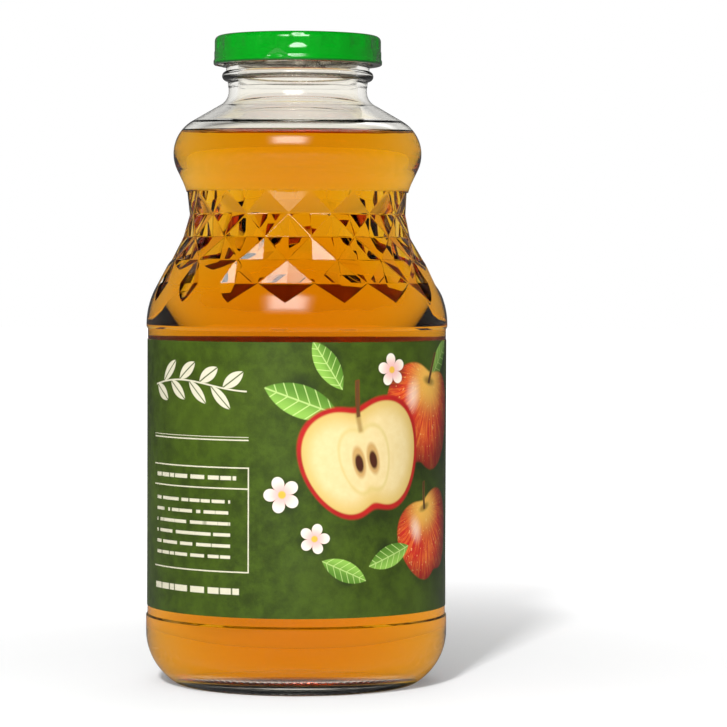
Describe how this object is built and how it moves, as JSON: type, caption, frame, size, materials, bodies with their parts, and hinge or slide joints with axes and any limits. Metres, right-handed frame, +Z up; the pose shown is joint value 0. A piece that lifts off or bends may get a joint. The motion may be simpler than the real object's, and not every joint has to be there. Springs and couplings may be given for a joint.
{
  "type": "bottle of apple juice",
  "caption": "Sealed glass bottle of apple juice with a flared body, a waist pressed with diamonds, a green metal twist-off cap and a wrap-round paper label.",
  "frame": {"origin": "middle of the base, on the plane the bottle stands on", "axes": "+Z up along the bottle's axis, the label's front faces -Y, +X to the right of it"},
  "size_m": [0.096, 0.096, 0.2059],
  "materials": {
    "glass": "clear polished glass",
    "juice": "clear golden juice",
    "cap": "gloss lacquer",
    "label": "satin coated paper"
  },
  "bodies": {
    "root": {"glass_bottle": "glass", "apple_juice": "juice", "cap": "cap", "label": "label"}
  },
  "joints": []
}
